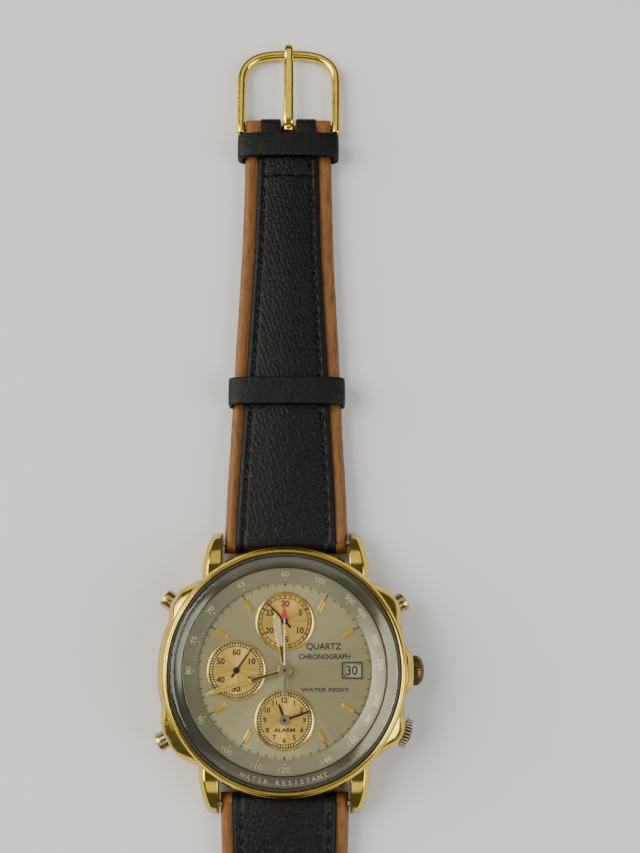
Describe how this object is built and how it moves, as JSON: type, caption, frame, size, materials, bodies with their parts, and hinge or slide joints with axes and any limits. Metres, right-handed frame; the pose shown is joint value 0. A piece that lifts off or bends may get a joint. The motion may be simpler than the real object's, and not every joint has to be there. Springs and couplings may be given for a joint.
{
  "type": "chronograph wristwatch",
  "caption": "Round gold-plated quartz chronograph wristwatch with alarm subdial, date window, crowns and pushers, on a black and tan leather strap with a pin buckle.",
  "frame": {"origin": "centre of the case back's flat rest face", "axes": "+Z out of the dial, +Y to 12 o'clock along the buckle half of the strap, +X to the crown at 3 o'clock"},
  "size_m": [0.0425, 0.2442, 0.0098],
  "materials": {
    "gold_case": "polished gold plate, worn on the edges",
    "gold_trim": "polished gold plate",
    "worn_gold": "gold plate worn to nickel",
    "steel": "satin",
    "brass": "satin",
    "crystal": "clear mineral glass",
    "rubber": "matt black",
    "dark_ring": "polished dark grey",
    "grey_ring": "glossy grey, printed scale",
    "dial_silver": "satin silver green",
    "red_hand": "red paint",
    "black_hand": "black paint",
    "date_white": "printed white",
    "plastic": "moulded nylon",
    "board": "printed circuit laminate",
    "copper": "enamelled copper wire",
    "tan_leather": "smooth tan lining and edges",
    "black_leather": "black grained top leather",
    "buckle_gold": "polished gold plate"
  },
  "bodies": {
    "case": {"case_middle": "gold_case", "bezel": "gold_case", "crystal": "crystal", "crystal_gasket": "rubber", "case_back": "steel", "case_back_gasket": "rubber", "flange_ring": "dark_ring", "tachymeter_ring": "grey_ring", "dial": "dial_silver", "subdial_ring_12": "gold_trim", "subdial_ring_9": "gold_trim", "subdial_ring_6": "gold_trim", "date_window_frame": "gold_trim", "movement_holder": "plastic", "main_plate": "brass", "train_bridge": "brass", "circuit_board": "board", "motor_coil": "copper", "quartz_crystal": "steel", "battery": "steel", "battery_clamp": "steel", "alarm_buzzer": "brass", "start_stop_pusher_tube": "steel", "alarm_pusher_tube": "steel", "split_reset_pusher_tube": "steel", "spring_bar_12": "steel", "spring_bar_6": "steel"},
    "minute_hand": {"minute_hand": "gold_trim", "minute_arbor_and_wheel": "brass"},
    "hour_hand": {"hour_hand": "gold_trim", "hour_wheel": "brass"},
    "minute_wheel": {"minute_wheel": "brass"},
    "third_wheel": {"third_wheel": "brass"},
    "small_seconds": {"small_seconds_hand": "black_hand", "small_seconds_arbor": "steel"},
    "chronograph_seconds": {"chronograph_seconds_hand": "red_hand"},
    "chronograph_minutes": {"chronograph_minutes_hand": "black_hand"},
    "alarm_minute": {"alarm_minute_hand": "black_hand"},
    "alarm_hour": {"alarm_hour_hand": "black_hand"},
    "date_wheel": {"date_wheel": "date_white"},
    "crown_clutch_wheel": {"crown_clutch_wheel": "steel"},
    "crown": {"crown": "brass"},
    "alarm_crown_clutch_wheel": {"alarm_crown_clutch_wheel": "steel"},
    "alarm_crown": {"alarm_crown": "worn_gold"},
    "start_stop_pusher": {"start_stop_pusher": "worn_gold"},
    "split_reset_pusher": {"split_reset_pusher": "worn_gold"},
    "alarm_pusher": {"alarm_pusher": "worn_gold"},
    "strap_12_near": {"strap_12_lining_near": "tan_leather", "strap_12_padding_near": "black_leather"},
    "strap_12_far": {"strap_12_lining_far": "tan_leather", "strap_12_padding_far": "black_leather", "fixed_keeper": "black_leather"},
    "sliding_keeper": {"sliding_keeper": "black_leather"},
    "buckle_frame": {"buckle_frame": "buckle_gold", "buckle_spring_bar": "steel"},
    "buckle_tongue": {"buckle_tongue": "buckle_gold"},
    "strap_6_near": {"strap_6_lining_near": "tan_leather", "strap_6_padding_near": "black_leather"},
    "strap_6_far": {"strap_6_lining_far": "tan_leather", "strap_6_padding_far": "black_leather"}
  },
  "joints": [
    {"name": "minute_hand_turn", "type": "hinge", "parent": "case", "child": "minute_hand", "pos_m": [0, 0, 0.006], "axis": [0, 0, -1], "continuous": true},
    {"name": "hour_hand_turn", "type": "hinge", "parent": "case", "child": "hour_hand", "pos_m": [0, 0, 0.006], "axis": [0, 0, -1], "continuous": true},
    {"name": "minute_wheel_turn", "type": "hinge", "parent": "case", "child": "minute_wheel", "pos_m": [0.00192, 0.00192, 0.006], "axis": [0, 0, -1], "continuous": true},
    {"name": "third_wheel_turn", "type": "hinge", "parent": "case", "child": "third_wheel", "pos_m": [-0.00383, 0.00168, 0.006], "axis": [0, 0, -1], "continuous": true},
    {"name": "small_seconds_turn", "type": "hinge", "parent": "case", "child": "small_seconds", "pos_m": [-0.00755, 0, 0.006], "axis": [0, 0, -1], "continuous": true},
    {"name": "chronograph_seconds_turn", "type": "hinge", "parent": "case", "child": "chronograph_seconds", "pos_m": [0, 0, 0.006], "axis": [0, 0, -1], "continuous": true},
    {"name": "chronograph_minutes_turn", "type": "hinge", "parent": "case", "child": "chronograph_minutes", "pos_m": [0, 0.00755, 0.006], "axis": [0, 0, -1], "continuous": true},
    {"name": "alarm_minute_turn", "type": "hinge", "parent": "case", "child": "alarm_minute", "pos_m": [0, -0.00755, 0.006], "axis": [0, 0, -1], "continuous": true},
    {"name": "alarm_hour_turn", "type": "hinge", "parent": "case", "child": "alarm_hour", "pos_m": [0, -0.00755, 0.006], "axis": [0, 0, -1], "continuous": true},
    {"name": "date_wheel_turn", "type": "hinge", "parent": "case", "child": "date_wheel", "pos_m": [0, 0, 0.006], "axis": [0, 0, -1], "continuous": true},
    {"name": "crown_turn", "type": "hinge", "parent": "case", "child": "crown_clutch_wheel", "pos_m": [0.02195, 0, 0.0039], "axis": [1, 0, 0], "continuous": true},
    {"name": "crown_pull", "type": "slide", "parent": "crown_clutch_wheel", "child": "crown", "axis": [1, 0, 0], "range_m": [0, 0.001]},
    {"name": "alarm_crown_turn", "type": "hinge", "parent": "case", "child": "alarm_crown_clutch_wheel", "pos_m": [0.01964, -0.00992, 0.0039], "axis": [0.9455, -0.3256, 0], "continuous": true},
    {"name": "alarm_crown_pull", "type": "slide", "parent": "alarm_crown_clutch_wheel", "child": "alarm_crown", "axis": [0.9455, -0.3256, 0], "range_m": [0, 0.001]},
    {"name": "start_stop_push", "type": "slide", "parent": "case", "child": "start_stop_pusher", "axis": [-0.866, -0.5, 0], "range_m": [0, 0.0008], "stiffness_N_per_m": 1500},
    {"name": "alarm_push", "type": "slide", "parent": "case", "child": "alarm_pusher", "axis": [0.8616, 0.5075, 0], "range_m": [0, 0.0008], "stiffness_N_per_m": 1500},
    {"name": "split_reset_push", "type": "slide", "parent": "case", "child": "split_reset_pusher", "axis": [0.829, -0.5592, 0], "range_m": [0, 0.0008], "stiffness_N_per_m": 1500},
    {"name": "strap_12_lug_hinge", "type": "hinge", "parent": "case", "child": "strap_12_near", "pos_m": [0, 0.0203, 0.0029], "axis": [-1, 0, 0], "range_deg": [-12, 80]},
    {"name": "strap_12_flex", "type": "hinge", "parent": "strap_12_near", "child": "strap_12_far", "pos_m": [0, 0.068, 0.0012], "axis": [-1, 0, 0], "range_deg": [0, 70]},
    {"name": "sliding_keeper_slide", "type": "slide", "parent": "strap_12_near", "child": "sliding_keeper", "axis": [0, 1, 0], "range_m": [0, 0.015]},
    {"name": "buckle_hinge", "type": "hinge", "parent": "strap_12_far", "child": "buckle_frame", "pos_m": [0, 0.0928, 0.00175], "axis": [-1, 0, 0], "range_deg": [-20, 60]},
    {"name": "buckle_tongue_hinge", "type": "hinge", "parent": "buckle_frame", "child": "buckle_tongue", "pos_m": [0, 0.0928, 0.00175], "axis": [1, 0, 0], "range_deg": [0, 90]},
    {"name": "strap_6_lug_hinge", "type": "hinge", "parent": "case", "child": "strap_6_near", "pos_m": [0, -0.0203, 0.0029], "axis": [1, 0, 0], "range_deg": [-12, 80]},
    {"name": "strap_6_flex", "type": "hinge", "parent": "strap_6_near", "child": "strap_6_far", "pos_m": [0, -0.072, 0], "axis": [1, 0, 0], "range_deg": [0, 50]}
  ],
  "couplings": [
    {"joint": "hour_hand_turn", "follows": "minute_hand_turn", "ratio": 0.083333},
    {"joint": "minute_wheel_turn", "follows": "minute_hand_turn", "ratio": -0.33333},
    {"joint": "third_wheel_turn", "follows": "minute_hand_turn", "ratio": -8},
    {"joint": "small_seconds_turn", "follows": "minute_hand_turn", "ratio": 60},
    {"joint": "chronograph_minutes_turn", "follows": "chronograph_seconds_turn", "ratio": 0.033333},
    {"joint": "alarm_hour_turn", "follows": "alarm_minute_turn", "ratio": 0.083333}
  ]
}
